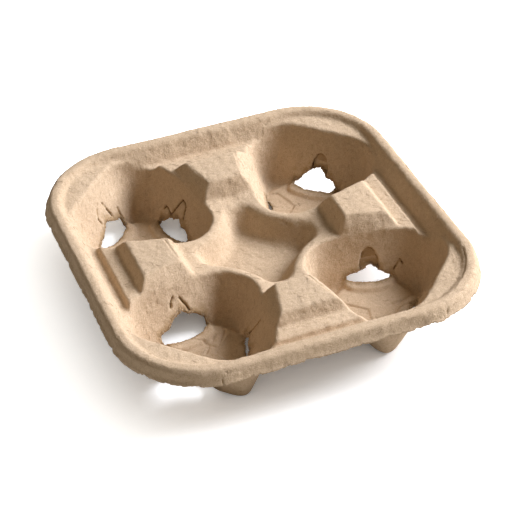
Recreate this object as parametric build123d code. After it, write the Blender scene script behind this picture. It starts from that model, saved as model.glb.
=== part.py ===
from build123d import *
import os
from math import atan, cos, degrees, radians, sqrt, tan

os.makedirs("parts", exist_ok=True)

# A four-cup carrier tray, moulded in one piece from a thin sheet of paper pulp.
# Lengths are in millimetres. X and Y run along the sides, Z is up, and the origin lies
# under the middle of the tray, on the plane of its feet.
# A depth is measured down from the crest of the rim, and a reach is measured outwards
# from the middle of the tray, or from the middle of a cup pocket where its name says so.

# Rim: a narrow crest with a flared skirt outside it and a sloping wall inside it
tray_width = 222.0
tray_height = 44.5
wall = 2.2
skirt_depth = 8.5
skirt_flare = 3.0
crest_corner = 52.3
crest_band = 6.0
crest_round = 2.6
rim_wall_depth = 14.0
rim_wall_run = 8.5

# Cup pockets: rounded triangles that narrow downwards, each with three flat sides that
# grip a cup and three lobes between them, whose lower ends are the hollow feet. The gaps
# are measured level from a pocket's mouth to the side and to the middle of the tray.
pocket_rim_gap = 13.1
pocket_middle_gap = 20.1
lobe_round = 28.5
foot_round = 17.95
flat_inset = 1.0
foot_flat_inset = 6.7
foot_length = 11.45
floor_rise = 3.8
floor_draft = 35.0

# Slots beside the pocket floor, and the pointed notch above each of them
slot_floor_width = 5.7
slit_floor_width = 2.3
slot_rise = 6.5
slot_length = 29.0
slot_bulge = 3.0
notch_width = 8.5
notch_rise = 9.0
notch_tip_width = 2.4

# Lips on the pocket floor, along the inner edge of each slot
lip_width = 4.6
lip_height = 2.4
lip_draft = 20.0
lip_corner = 2.5

# Gripping posts in the middle of each side, with a ledge and a groove behind them
post_depth = 1.2
post_margin = 34.8
post_length = 24.2
post_inner_width = 31.0
post_outer_width = 50.0
post_draft = 21.0
post_outer_run = 4.6
post_corner = 7.5
post_round = 2.4
shoulder_width = 4.2
shoulder_drop = 3.6
shoulder_length = 56.0
ledge_depth = 8.2
ledge_margin = 21.7
groove_depth = 11.6
groove_run = 1.6
side_end_margin = 8.0

# Crescent ledges that fill the corners between the rim and the pockets
corner_ledge_depth = 2.2
corner_ledge_slope = 6.0
corner_ledge_margin = 26.0
corner_ledge_width = 76.0

# Ridges between the pockets, and the star-shaped well in the middle
ridge_depth = 14.0
ridge_width = 5.7
well_depth = 28.0
well_post_gap = 15.0
well_side_draft = 26.0
well_end_draft = 30.0

# Directions of a pocket's three flat sides, for the pocket in the +X +Y corner
outer_flat = 45.0
side_flat = 285.0
back_flat = 165.0
lobe_turn = 60.0

# Planes used for cutting lie this far clear of the tray
clearance = 6.0

half_width = tray_width / 2
crest_half = half_width - skirt_flare
foot_depth = tray_height - wall
skirt_slope = skirt_flare / skirt_depth
above_crest = clearance
below_feet = tray_height + clearance
edge_band = wall / 200
reach_outside = 2 * tray_width

# A lobe points to the middle of the tray, and the other two point nearly along X and Y
middle_share = cos(radians(outer_flat))
side_share = cos(radians(side_flat + lobe_turn))
pocket_span = half_width - pocket_rim_gap - pocket_middle_gap
lobe_reach = pocket_span / (side_share + middle_share)
pocket_reach = pocket_middle_gap + lobe_reach * middle_share
lobe_centre_reach = lobe_reach - lobe_round
lobe_draft = degrees(atan((lobe_round - foot_round) / foot_depth))
flat_reach = lobe_centre_reach / 2 + lobe_round - flat_inset
foot_flat_reach = lobe_centre_reach / 2 + foot_round - foot_flat_inset
flat_draft = degrees(atan((flat_reach - foot_flat_reach) / foot_depth))
floor_depth = foot_depth - floor_rise
floor_radius = lobe_centre_reach + foot_round - foot_length
slot_inner_reach = foot_flat_reach - slot_floor_width
slit_inner_reach = foot_flat_reach - slit_floor_width
slot_top_depth = floor_depth - slot_rise

post_outer_reach = half_width - post_margin
post_inner_reach = post_outer_reach - post_length
ledge_outer_reach = half_width - ledge_margin
corner_ledge_reach = half_width * sqrt(2.0) - corner_ledge_margin
well_reach = post_inner_reach - well_post_gap
well_side_radius = lobe_reach - ridge_depth * tan(radians(lobe_draft)) + ridge_width


def moved_wall(inset, slope):
    """Level distance that a wall moves when the sheet's surface moves in by inset."""
    return inset * sqrt(1.0 + slope * slope)


def drafted(face, height, draft):
    """The level face drawn straight down, drawing in by draft degrees on every side as it goes."""
    return extrude(face, amount=height, dir=(0, 0, -1), taper=draft)


def rounded_square(half, radius, depth):
    """Level rounded square, half wide on each side, at a depth below the crest."""
    return Pos(0, 0, -depth) * RectangleRounded(2 * half, 2 * half, radius)


def rim_block(inset):
    """Block under the crest of the rim, whose sides are the flared skirt."""
    grow = inset * skirt_slope - moved_wall(inset, skirt_slope)
    top = rounded_square(crest_half + grow, crest_corner + grow, inset)
    return drafted(top, below_feet, -degrees(atan(skirt_slope)))


def basin(inset):
    """Hollow inside the rim, down to the ridges."""
    slope = rim_wall_run / rim_wall_depth
    grow = moved_wall(inset, slope) + above_crest * slope - crest_band
    mouth = rounded_square(crest_half + grow, crest_corner + grow, -above_crest)
    return drafted(mouth, above_crest + ridge_depth + inset, degrees(atan(slope)))


def rounded_on_top(body, inset, edges, radius):
    """The body with those edges rounded on the sheet's upper surface; its underside keeps them sharp."""
    if inset > 0:
        return body
    return fillet(edges, radius)


def rim(inset):
    """Block and basin together, with the two edges of the crest rounded."""
    body = rim_block(inset) - basin(inset)
    top_edges = body.edges().filter_by_position(Axis.Z, -inset - edge_band, -inset + edge_band)
    return rounded_on_top(body, inset, top_edges, crest_round)


def post(inset):
    """One post on the +X side, with sloping sides and a rounded inner top edge."""
    slope = tan(radians(post_draft))
    shrink = moved_wall(inset, slope) - inset * slope
    inner = post_inner_reach + shrink
    outer = (post_outer_reach + ledge_outer_reach) / 2
    half_inner = post_inner_width / 2 - shrink
    half_outer = post_outer_width / 2 - shrink
    corners = [(inner, -half_inner), (outer, -half_outer), (outer, half_outer), (inner, half_inner)]
    face = make_face(Polyline(*corners, close=True))
    face = fillet(face.vertices().sort_by(Axis.X)[:2], post_corner)
    block = drafted(Pos(0, 0, -post_depth - inset) * face, ridge_depth, -post_draft)
    top_edges = block.faces().sort_by(Axis.Z)[-1].edges().sort_by(Axis.X)[:-1]
    return rounded_on_top(block, inset, top_edges, post_round)


def side_profile(inset):
    """Section across a side outside its post: the post's outer face, the ledge and the groove."""
    rim_foot = crest_half - crest_band
    post_middle = (post_inner_reach + post_outer_reach) / 2
    outline = Polyline(
        (post_middle, -ledge_depth),
        (ledge_outer_reach, -ledge_depth),
        (ledge_outer_reach + groove_run, -groove_depth),
        (rim_foot, -groove_depth),
        (rim_foot, -2 * ridge_depth),
        (post_middle, -2 * ridge_depth),
        close=True,
    )
    face = make_face(outline)
    if inset > 0:
        face = offset(face, amount=-inset, kind=Kind.INTERSECTION)
    return face


def post_back_cut(inset):
    """What lies above the ledge outside a post, so that the post ends in a sloping outer face."""
    slope = post_outer_run / (ledge_depth - post_depth)
    shift = moved_wall(inset, slope) - inset * slope
    rise = above_crest + post_depth
    outline = Polyline(
        (post_outer_reach + post_outer_run - shift, -ledge_depth - inset),
        (post_outer_reach - shift, -post_depth - inset),
        (post_outer_reach - shift - rise * slope, above_crest - inset),
        (crest_half, above_crest - inset),
        (crest_half, -ledge_depth - inset),
        close=True,
    )
    return extrude(Plane.XZ * make_face(outline), amount=pocket_reach, both=True)


def sides(inset):
    """The four stepped sides; the pockets cut their ends to the width of the posts."""
    bar = extrude(Plane.XZ * side_profile(inset), amount=pocket_reach + side_end_margin, both=True)
    side = post(inset) - post_back_cut(inset) + bar
    return [side.rotate(Axis.Z, 90 * turn) for turn in range(4)]


def corner_ledges(inset):
    """The four corner ledges, which slope down gently towards the pockets."""
    face = Rectangle(2 * pocket_reach, corner_ledge_width - 2 * inset)
    block = Pos(-pocket_reach, 0, 0) * extrude(face, amount=-ridge_depth)
    block = Pos(corner_ledge_reach, 0, -corner_ledge_depth - inset) * Rot(0, -corner_ledge_slope, 0) * block
    limit = extrude(rounded_square(crest_half - crest_band / 2, crest_corner, below_feet), amount=below_feet)
    return [block.rotate(Axis.Z, 45 + 90 * turn) & limit for turn in range(4)]


def lobes(inset):
    """Hollow of a pocket without its flat sides: three drafted lobes about the pocket's axis."""
    slope = tan(radians(lobe_draft))
    reach = lobe_reach + above_crest * slope + moved_wall(inset, slope)
    rounding = reach - lobe_centre_reach
    triangle = Rot(0, 0, outer_flat + lobe_turn) * RegularPolygon(2 * rounding + lobe_centre_reach, 3)
    mouth = Pos(0, 0, above_crest) * fillet(triangle.vertices(), rounding)
    return drafted(mouth, above_crest + foot_depth + inset, lobe_draft)


def flat_pad(direction, inset):
    """What a flat side takes from the lobes: everything behind its sloping wall."""
    slope = tan(radians(flat_draft))
    moved = moved_wall(inset, slope)
    behind = 2 * lobe_reach
    outline = Polyline(
        (flat_reach - slope * below_feet + moved, -below_feet),
        (flat_reach + slope * 2 * above_crest + moved, 2 * above_crest),
        (behind, 2 * above_crest),
        (behind, -below_feet),
        close=True,
    )
    return extrude(Plane.XZ * make_face(outline), amount=2 * lobe_reach, both=True).rotate(Axis.Z, direction)


def shoulder(direction, inset):
    """What a gently sloping shoulder takes from the edge of a post, above a pocket's flat side."""
    slope = tan(radians(flat_draft))
    moved = moved_wall(inset, slope) - inset * slope
    mouth = post_depth + inset
    brow = flat_reach - slope * (mouth + shoulder_drop - inset) + moved
    outline = Polyline(
        (brow, -mouth - shoulder_drop),
        (flat_reach + shoulder_width + moved, -mouth),
        (flat_reach + shoulder_width + moved, above_crest),
        (brow, above_crest),
        close=True,
    )
    wedge = extrude(Plane.XZ * make_face(outline), amount=shoulder_length / 2, both=True)
    return wedge.rotate(Axis.Z, direction)


def pocket_hollow(inset):
    """Hollow of one pocket about its own axis, with the raised floor left standing in it."""
    funnel = lobes(inset)
    for direction in (outer_flat, side_flat, back_flat):
        funnel -= flat_pad(direction, inset)
    for direction in (side_flat, back_flat):
        funnel += shoulder(direction, inset)
    slope = tan(radians(floor_draft))
    top = floor_radius - moved_wall(inset, slope) + inset * slope
    height = below_feet - floor_depth
    floor = Cone(top + height * slope, top, height)
    floor = Pos(0, 0, -floor_depth - inset - height / 2) * floor
    return funnel - floor


def lip(direction, inset):
    """Raised lip on a pocket's floor, beside one slot."""
    slope = tan(radians(lip_draft))
    shrink = moved_wall(inset, slope) - inset * slope
    top = RectangleRounded(2 * (lip_width - shrink), slot_length - 2 * shrink, lip_corner)
    top = Pos(slot_inner_reach, 0, lip_height - floor_depth - inset) * top
    return drafted(top, lip_height + wall, -lip_draft).rotate(Axis.Z, direction)


def slot_face(inner_reach):
    """Outline of a slot, with its inner edge bulging towards the middle of the pocket."""
    half = slot_length / 2
    edges = [
        ThreePointArc((inner_reach + slot_bulge, -half), (inner_reach, 0), (inner_reach + slot_bulge, half)),
        Line((inner_reach + slot_bulge, half), (flat_reach, half)),
        Line((flat_reach, half), (flat_reach, -half)),
        Line((flat_reach, -half), (inner_reach + slot_bulge, -half)),
    ]
    return make_face(edges)


def notch_face():
    """Upright outline of the notch above a slot, narrowing to a blunt tip."""
    foot = notch_width / 2
    tip = notch_tip_width / 2
    return make_face(Polyline((-foot, 0), (foot, 0), (tip, notch_rise), (-tip, notch_rise), close=True))


def slot_cut(direction, inner_reach):
    """Slot through the floor and the foot of a flat side, with the notch above it."""
    opening = Pos(0, 0, -below_feet) * extrude(slot_face(inner_reach), amount=below_feet - slot_top_depth)
    notch = Pos(0, 0, -slot_top_depth) * extrude(Plane.YZ * notch_face(), amount=flat_reach)
    return (opening + notch).rotate(Axis.Z, direction)


def well(inset):
    """Star-shaped hollow in the middle, whose sides run round the four pockets."""
    side_slope = tan(radians(well_side_draft))
    end_slope = tan(radians(well_end_draft))
    rise = ridge_depth - above_crest
    height = well_depth + inset - rise
    half = well_reach + (ridge_depth - rise) * end_slope + moved_wall(inset, end_slope)
    star = drafted(Pos(0, 0, -rise) * Rectangle(2 * half, 2 * half), height, well_end_draft)
    top = well_side_radius - (ridge_depth - rise) * side_slope - moved_wall(inset, side_slope)
    bank = Pos(0, 0, -rise - height / 2) * Cone(top + height * side_slope, top, height)
    for side_x in (-1, 1):
        for side_y in (-1, 1):
            star -= Pos(side_x * pocket_reach, side_y * pocket_reach) * bank
    return star


def four_ways(shape):
    """The shape made for the +X +Y pocket, and its mirror images in the other three."""
    shape = Pos(pocket_reach, pocket_reach, 0) * shape
    across = mirror(shape, about=Plane.YZ)
    return [shape, across, mirror(shape, about=Plane.XZ), mirror(across, about=Plane.XZ)]


def form(inset):
    """Everything under the tray's upper surface, after that surface moves in by inset."""
    body = rim(inset)
    body += sides(inset)
    body += corner_ledges(inset)
    body -= four_ways(pocket_hollow(inset))
    body -= well(inset)
    for direction in (outer_flat, side_flat):
        body += four_ways(lip(direction, inset))
    return body


def skirt_trim():
    """What is cut away outside the pockets below the lower edge of the skirt."""
    inside = crest_half - crest_band / 2
    ring = Rectangle(reach_outside, reach_outside) - RectangleRounded(2 * inside, 2 * inside, crest_corner)
    return Pos(0, 0, -2 * below_feet) * extrude(ring, amount=2 * below_feet - skirt_depth)


slots = [
    (outer_flat, slot_inner_reach),
    (side_flat, slot_inner_reach),
    (back_flat, slit_inner_reach),
]

tray = form(0.0) - form(wall) - skirt_trim()
for direction, inner_reach in slots:
    tray -= four_ways(slot_cut(direction, inner_reach))
tray = Pos(0, 0, tray_height) * tray

export_step(tray, "parts/carrier_tray.step")
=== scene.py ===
"""A four-cup carrier tray moulded in one sheet from paper pulp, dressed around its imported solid.

The sheet's upper surface follows one rule: a signed distance built from the rim, the stepped
sides, the posts, the corner ledges, the cup pockets and the middle well, joined with soft edges as
wet pulp leaves them. Lengths inside the shape classes are millimetres, with z measured up from the
crest of the rim. Meshes are metres in the solid's own frame.
"""

import logging
from collections.abc import Sequence
from dataclasses import dataclass
from enum import Enum
from math import cos, pi, radians, sin, sqrt, tan

import bmesh
import bpy
import numpy as np
from mathutils import Matrix, Vector


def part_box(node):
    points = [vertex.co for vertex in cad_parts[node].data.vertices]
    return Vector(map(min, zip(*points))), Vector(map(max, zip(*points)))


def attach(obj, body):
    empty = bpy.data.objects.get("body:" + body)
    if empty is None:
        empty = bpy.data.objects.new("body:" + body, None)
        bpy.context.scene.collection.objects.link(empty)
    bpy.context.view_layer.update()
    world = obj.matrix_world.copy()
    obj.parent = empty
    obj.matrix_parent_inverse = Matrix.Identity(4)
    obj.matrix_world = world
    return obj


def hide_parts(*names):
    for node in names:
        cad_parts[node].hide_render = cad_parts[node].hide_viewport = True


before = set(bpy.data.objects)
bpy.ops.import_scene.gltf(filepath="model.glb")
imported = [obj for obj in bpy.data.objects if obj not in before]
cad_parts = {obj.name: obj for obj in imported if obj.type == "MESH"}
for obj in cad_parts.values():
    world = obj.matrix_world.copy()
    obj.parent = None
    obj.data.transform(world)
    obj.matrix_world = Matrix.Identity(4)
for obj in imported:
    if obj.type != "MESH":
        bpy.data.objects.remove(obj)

LOG = logging.getLogger("carrier_tray")
MM = 0.001
NODE = "carrier_tray"
BODY = "root"
FAR = 1e3
NEARLY = 0.01

Array = np.ndarray
Colour = tuple[float, float, float]
Material = bpy.types.Material
Piece = bpy.types.Object
Socket = bpy.types.NodeSocket


class Face(Enum):
    """The two surfaces of the pulp sheet, by how far each lies inside the upper one."""

    UPPER = 0.0
    UNDER = 1.0


class Flat(Enum):
    """The three flat sides of a cup pocket, by the direction each one lies in."""

    CORNER = 45.0
    SIDE = 285.0
    BACK = 165.0


@dataclass(frozen=True)
class Tear:
    """One torn slot at the foot of a flat side.

    Args:
        inner: reach of the edge that is left on the pocket's floor.
        bulge: how much further out that edge lies at its ends.
        half: half the slot's length.
        ends: height of the torn edge of the wall at its ends.
        peak: height of its highest place.
        lean: how far that place lies sideways.
        arch: height of the pressed-out arch above it, or zero.
        lip: how high the floor's lip stands, negative where the floor is sunk instead.
        push: how much the flat side's outer end is pushed away from the pocket, from -1 to 1.
    """

    inner: float
    bulge: float
    half: float
    ends: float
    peak: float
    lean: float = 0.0
    arch: float = 0.0
    lip: float = 2.2
    push: float = 0.0


@dataclass(frozen=True)
class Mark:
    """A fine line in the sheet: a crease, a crack, or a rib where its depth is negative.

    Args:
        points: the places it runs through, from the tray's middle and its crest.
        depth: how deep it is.
        half_width: half its width.
        torn_and_shade: how much its paper is darkened, by the torn tint and by painted shade in the
            crease or crack, from 0 to 1.
    """

    points: tuple[tuple[float, float, float], ...]
    depth: float
    half_width: float
    torn_and_shade: float = 0.0


# The tears of each flat side, in the pockets back right, back left, front right and front left
TEARS = {
    Flat.CORNER: (
        Tear(13.4, 2.8, 14.6, -37.0, -28.0, -0.5, 8.4),
        Tear(16.3, 4.5, 15.0, -35.5, -28.0, 1.5),
        Tear(20.5, 1.5, 11.0, -37.6, -35.4, 1.0),
        Tear(15.0, 3.0, 14.0, -36.0, -29.0, -1.0, 7.0),
    ),
    Flat.SIDE: (
        Tear(15.5, 3.0, 13.5, -36.0, -29.5, 0.5, 7.0, push=-0.15),
        Tear(15.0, 3.4, 13.0, -36.0, -30.0, -1.0, 6.0, push=0.8),
        Tear(18.7, 4.0, 14.8, -36.0, -29.4, 0.4, 9.4, push=-0.5),
        Tear(14.0, 4.6, 15.4, -34.6, -27.4, -2.0, push=0.3),
    ),
    Flat.BACK: (
        Tear(20.6, 1.2, 8.0, -37.4, -35.2, -2.0, 0.0, -1.2, push=-0.3),
        Tear(15.6, 3.6, 15.4, -37.0, -31.0, push=-0.5),
        Tear(21.4, 1.0, 7.0, -38.0, -36.4, 0.0, 0.0, -1.2, push=1.0),
        Tear(22.0, 1.0, 12.0, -36.4, -33.0, 3.0, 0.0, -1.2, push=1.0),
    ),
}
# The darkening of these marks is painted shade in their creases and cracks, darkest in the gap
# outside the right rim.
MARKS = (
    Mark(((-54.4, 8.9, -1.2), (-53.7, 0.6, -1.2), (-53.0, -7.7, -1.2)), 0.7, 0.7, 0.35),
    Mark(((-64.9, -15.3, -1.4), (-59.5, -13.7, -1.3), (-52.3, -13.9, -1.6)), 0.5, 0.7, 0.3),
    Mark(((-70.4, 15.8, -1.6), (-62.9, 14.6, -1.4), (-55.0, 12.2, -1.4)), 0.5, 0.6, 0.3),
    Mark(((16.1, 79.0, -1.8), (14.6, 70.3, -1.4), (12.6, 62.0, -1.3)), 0.5, 0.7, 0.2),
    Mark(((9.1, -51.7, -1.3), (12.0, -60.5, -1.2), (15.7, -71.5, -1.3)), 0.9, 0.7, 0.5),
    Mark(((-42.5, -39.8, -38.5), (-48.0, -45.8, -38.5), (-53.6, -52.6, -38.5)), 1.3, 1.1, 0.25),
    Mark(((-36.5, -38.6, -38.5), (-42.1, -46.5, -38.5), (-47.6, -54.2, -38.5)), 1.4, 1.1, 0.25),
    Mark(((-58.0, -40.5, -38.5), (-52.0, -44.0, -38.5), (-46.0, -50.5, -38.5)), 1.0, 1.0, 0.2),
    Mark(((62.4, -55.8, -38.5), (69.4, -54.9, -38.5), (75.5, -54.5, -38.7)), 1.2, 1.0, 0.25),
    Mark(((64.4, -61.8, -38.5), (70.4, -60.5, -38.5), (76.0, -61.5, -38.7)), 1.2, 1.0, 0.25),
    Mark(((107.4, 20.0, -0.8), (107.6, -6.0, -0.8), (107.4, -31.0, -0.8)), 1.4, 1.1, 1.0),
    Mark(
        ((101.2, -65.8, -2.0), (97.6, -76.1, -2.3), (92.4, -83.5, -2.4), (87.1, -89.9, -2.4)),
        0.6,
        0.9,
        0.1,
    ),
    Mark(((-101.5, -62.0, -2.0), (-96.5, -76.0, -2.3), (-84.0, -91.0, -2.4)), 0.5, 0.9, 0.0),
    Mark(((6.7, 36.3, -16.0), (18.9, 18.1, -16.0), (31.1, 5.5, -16.0)), 0.4, 0.6, 0.2),
    Mark(((70.0, -104.0, -3.0), (69.2, -108.0, -5.0), (69.0, -111.0, -9.0)), 0.9, 0.6, 0.6),
    Mark(((-64.0, -107.0, -4.0), (-65.0, -110.0, -9.0)), 0.9, 0.7, 0.6),
)

# Cracks in the pockets' walls: the flat side, the signs of the pocket's x and y, and the places
# that the crack runs through, sideways of the flat's middle and below the crest
WALL_MARKS = (
    (Flat.SIDE, 1, -1, ((15.5, -33.0), (17.4, -30.2), (19.3, -27.5), (21.0, -30.0))),
    (Flat.SIDE, -1, -1, ((-3.2, -19.3), (-4.4, -22.2), (-5.8, -24.6), (-6.8, -28.1))),
    (Flat.SIDE, -1, -1, ((1.1, -17.5), (3.4, -20.1), (4.0, -22.3))),
    (Flat.BACK, -1, -1, ((9.0, -36.0), (5.8, -31.0), (3.4, -24.5), (1.8, -18.0))),
    (Flat.BACK, -1, 1, ((-16.0, -31.4), (-14.8, -29.4), (-11.4, -29.7), (-8.4, -31.5))),
    (Flat.BACK, -1, 1, ((-8.4, -31.5), (-6.1, -27.0), (-3.9, -22.5), (-2.3, -19.1))),
    (Flat.BACK, -1, 1, ((-2.3, -19.1), (0.2, -19.8), (2.1, -21.5), (3.4, -29.0))),
    (Flat.CORNER, -1, 1, ((4.8, -18.1), (6.6, -23.5), (8.5, -28.9))),
    (Flat.CORNER, -1, 1, ((16.1, -28.2), (15.8, -31.5), (16.0, -35.9))),
    (Flat.CORNER, -1, 1, ((0.5, -15.3), (-2.7, -18.8), (-5.1, -22.9), (-3.6, -27.4))),
)


def soft_max(first: Array, second: Array, soft: float) -> Array:
    """Joins two distances where both must hold, with the edge between them rounded.

    Args:
        first: one signed distance, in millimetres.
        second: the other one.
        soft: width of the rounding.

    Returns:
        The joined distance.
    """
    share = np.clip(0.5 + 0.5 * (first - second) / soft, 0.0, 1.0)
    return second + (first - second) * share + soft * share * (1.0 - share)


def soft_min(first: Array, second: Array, soft: float) -> Array:
    """Joins two distances where either may hold; see soft_max."""
    return -soft_max(-first, -second, soft)


def tilted(level: Array, slope: float) -> Array:
    """Turns a level distance to a wall of that slope into one square to it."""
    return level * (1.0 / sqrt(1.0 + slope * slope))


def draft(angle: float) -> float:
    """Slope of a wall that leans by an angle in degrees."""
    return tan(radians(angle))


def rounded(over_x: Array, over_y: Array, radius: float) -> Array:
    """Level distance to a rounded rectangle, by how far points lie past its corners' middles."""
    outside = np.hypot(np.maximum(over_x, 0.0), np.maximum(over_y, 0.0))
    return outside + np.minimum(np.maximum(over_x, over_y), 0.0) - radius


@dataclass
class Plan:
    """Level distances of a set of points, which no height changes.

    Args:
        x: first coordinate of each point, in millimetres.
        y: second coordinate of each point.
        pocket_reach: both coordinates of a pocket's middle.
    """

    x: Array
    y: Array
    pocket_reach: float = 53.0

    def __post_init__(self) -> None:
        """Folds the points into one eighth and one quarter of the tray."""
        self.flat_x = np.abs(self.x)
        self.flat_y = np.abs(self.y)
        self.across = np.maximum(self.flat_x, self.flat_y)
        self.along = np.minimum(self.flat_x, self.flat_y)
        self.pocket_x = self.flat_x - self.pocket_reach
        self.pocket_y = self.flat_y - self.pocket_reach
        self.pocket_radius = np.hypot(self.pocket_x, self.pocket_y)

    def square(self, half: float, radius: float) -> Array:
        """Level distance to a square about the tray's middle, with rounded corners."""
        return rounded(self.flat_x - (half - radius), self.flat_y - (half - radius), radius)

    def toward(self, flat: Flat) -> tuple[Array, Array]:
        """Distances from the nearest pocket's middle, outwards and sideways of one of its flats."""
        turn = radians(flat.value)
        out = self.pocket_x * cos(turn) + self.pocket_y * sin(turn)
        return out, self.pocket_y * cos(turn) - self.pocket_x * sin(turn)

    def tears(self, flat: Flat, name: str) -> Array:
        """One size of the tears at a flat, for the pocket that each point lies in."""
        which = (self.x < 0.0) * 1 + (self.y < 0.0) * 2
        return np.array([getattr(tear, name) for tear in TEARS[flat]])[which]


@dataclass
class Rim:
    """The crest with its flared skirt outside and its sloping wall inside."""

    half: float
    flare: float = 3.0
    skirt_depth: float = 8.5
    flange_depth: float = 1.9
    flange_flare: float = 0.9
    corner: float = 52.3
    band: float = 6.0
    crest_soft: float = 2.4
    wall_run: float = 8.5
    floor_depth: float = 14.0
    floor_soft: float = 3.0

    def prepare(self, plan: Plan) -> None:
        """Keeps the level distance of each point to the outline of the crest."""
        self.level = plan.square(self.half - self.flare, self.corner)

    def distance(self, z: Array) -> Array:
        """Signed distance to the block under the crest, less the basin inside it."""
        wall = self.wall_run / self.floor_depth
        inside = tilted(self.level + self.band - z * wall, wall)
        basin = soft_max(inside, -self.floor_depth - z, self.floor_soft)
        return soft_max(self.block(z), -basin, self.crest_soft)

    def block(self, z: Array) -> Array:
        """Signed distance to the block under the crest, bounded by the skirt."""
        skirt = (self.flare - self.flange_flare) / self.skirt_depth
        flange = np.maximum(self.flange_depth - self.skirt_depth - z, 0.0) / self.flange_depth
        outside = self.level + z * skirt - self.flange_flare * flange
        return soft_max(tilted(outside, skirt), z, self.crest_soft)


@dataclass
class SideSteps:
    """A gripping post in the middle of each side, and the ledge and groove outside it."""

    post_depth: float = 1.2
    inner_reach: float = 52.0
    outer_reach: float = 76.2
    inner_half: float = 15.5
    spread: float = 0.309
    side_draft: float = 21.0
    inner_slope: float = 0.58
    outer_slope: float = 0.657
    corner_soft: float = 4.0
    edge_soft: float = 1.3
    brow_reach: float = 37.7
    brow_depth: float = 4.8
    brow_slope: float = 1.15
    ledge_depth: float = 8.2
    ledge_reach: float = 89.3
    groove_depth: float = 11.6
    groove_slope: float = 0.47
    step_soft: float = 1.2
    half_length: float = 61.0
    inner_limit: float = 64.0

    def prepare(self, plan: Plan) -> None:
        """Keeps the level distances to the nearest side and to the pockets' flats."""
        self.across = plan.across
        self.along = plan.along
        side, back = plan.toward(Flat.SIDE)[0], plan.toward(Flat.BACK)[0]
        self.beside = np.where(plan.flat_x > plan.flat_y, side, back)

    def post(self, z: Array) -> Array:
        """Signed distance to the post, with its two gently sloping shoulders."""
        slope = draft(self.side_draft)
        drop = -z - self.post_depth
        inner = tilted(self.inner_reach - drop * self.inner_slope - self.across, self.inner_slope)
        half = self.inner_half + (self.across - self.inner_reach) * self.spread + drop * slope
        outer = tilted(self.across - self.outer_reach - drop * self.outer_slope, self.outer_slope)
        walls = soft_max(inner, tilted(self.along - half, slope), self.corner_soft)
        body = soft_max(walls, z + self.post_depth, self.edge_soft)
        body = soft_max(body, outer, self.edge_soft)
        brow = z + self.brow_depth - (self.beside - self.brow_reach) * self.brow_slope
        return soft_max(body, tilted(brow, self.brow_slope), self.step_soft)

    def distance(self, z: Array) -> Array:
        """Signed distance to the post, the ledge and the groove together."""
        past = -self.ledge_depth - z
        riser = tilted(self.across - self.ledge_reach - past * self.groove_slope, self.groove_slope)
        ledge = soft_max(z + self.ledge_depth, riser, self.step_soft)
        steps = soft_min(ledge, z + self.groove_depth, self.step_soft)
        steps = soft_max(steps, self.along - self.half_length, self.step_soft)
        steps = soft_max(steps, self.inner_limit - self.across, self.step_soft)
        return soft_min(steps, self.post(z), self.step_soft)


@dataclass
class CornerLedge:
    """The crescent between the rim and the pocket in each corner, sloping gently down inwards."""

    depth: float = 2.2
    reach: float = 131.0
    slope: float = 0.105
    half_width: float = 38.0
    soft: float = 3.0

    def prepare(self, plan: Plan) -> None:
        """Keeps the level distances outwards and sideways of the tray's diagonal."""
        self.outwards = (plan.flat_x + plan.flat_y) / sqrt(2.0)
        self.sideways = (plan.flat_x - plan.flat_y) / sqrt(2.0)

    def distance(self, z: Array) -> Array:
        """Signed distance to the ledge."""
        top = z + self.depth + (self.reach - self.outwards) * self.slope
        return soft_max(top, np.abs(self.sideways) - self.half_width, self.soft)


@dataclass
class CupPocket:
    """A cup pocket: three lobes and three flats that narrow downwards, and a raised round floor."""

    lobe_reach: float = 46.5
    lobe_centre: float = 18.0
    lobe_draft: float = 14.0
    flat_reach: float = 39.8
    flat_draft: float = 25.4
    flat_soft: float = 4.8
    foot_depth: float = 42.3
    foot_soft: float = 3.5
    floor_depth: float = 38.5
    floor_radius: float = 24.5
    floor_draft: float = 35.0
    floor_soft: float = 2.0
    push: float = 9.0
    push_side: float = 26.0
    push_most: float = 1.15
    push_curve: float = 1.2
    push_start: float = 26.0
    push_run: float = 8.0
    push_depth: float = 26.0
    lobe_push: float = 0.35

    def prepare(self, plan: Plan) -> None:
        """Keeps the level distances to the lobes, to the flats and from the pocket's middle."""
        self.flats, self.pushes, spans = [], [], []
        inner = self.lobe_centre / 2.0
        for flat in Flat:
            out, side = plan.toward(flat)
            outward = side if flat is Flat.SIDE else -side
            along = np.clip(outward / self.push_side, 0.0, self.push_most) ** self.push_curve
            beyond = np.clip((out - self.push_start) / self.push_run, 0.0, 1.0)
            self.flats.append(out)
            self.pushes.append(self.push * along * beyond * plan.tears(flat, "push"))
            spans.append(np.hypot(out - inner, np.maximum(np.abs(side) - inner * sqrt(3.0), 0.0)))
        deepest = np.maximum.reduce(self.flats) - inner
        self.triangle = np.where(deepest < 0.0, deepest, np.minimum.reduce(spans))
        self.radius = plan.pocket_radius

    def distance(self, z: Array) -> Array:
        """Signed distance to the hollow of the pocket, with its floor left standing."""
        lobe_slope, flat_slope = draft(self.lobe_draft), draft(self.flat_draft)
        floor_slope = draft(self.floor_draft)
        fade = np.clip(1.0 + z / self.push_depth, 0.0, 1.0)
        lobes = self.triangle - (self.lobe_reach - self.lobe_centre) - z * lobe_slope
        lobes -= sum(self.pushes) * fade * self.lobe_push
        hollow = tilted(lobes, lobe_slope)
        for flat, push in zip(self.flats, self.pushes):
            wall = tilted(flat - push * fade - self.flat_reach - z * flat_slope, flat_slope)
            hollow = soft_max(hollow, wall, self.flat_soft)
        hollow = soft_max(hollow, -self.foot_depth - z, self.foot_soft)
        run = self.floor_radius - (z + self.floor_depth) * floor_slope
        edge = tilted(self.radius - run, floor_slope)
        floor = soft_max(z + self.floor_depth, edge, self.floor_soft)
        return soft_max(hollow, -floor, self.floor_soft)


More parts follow.
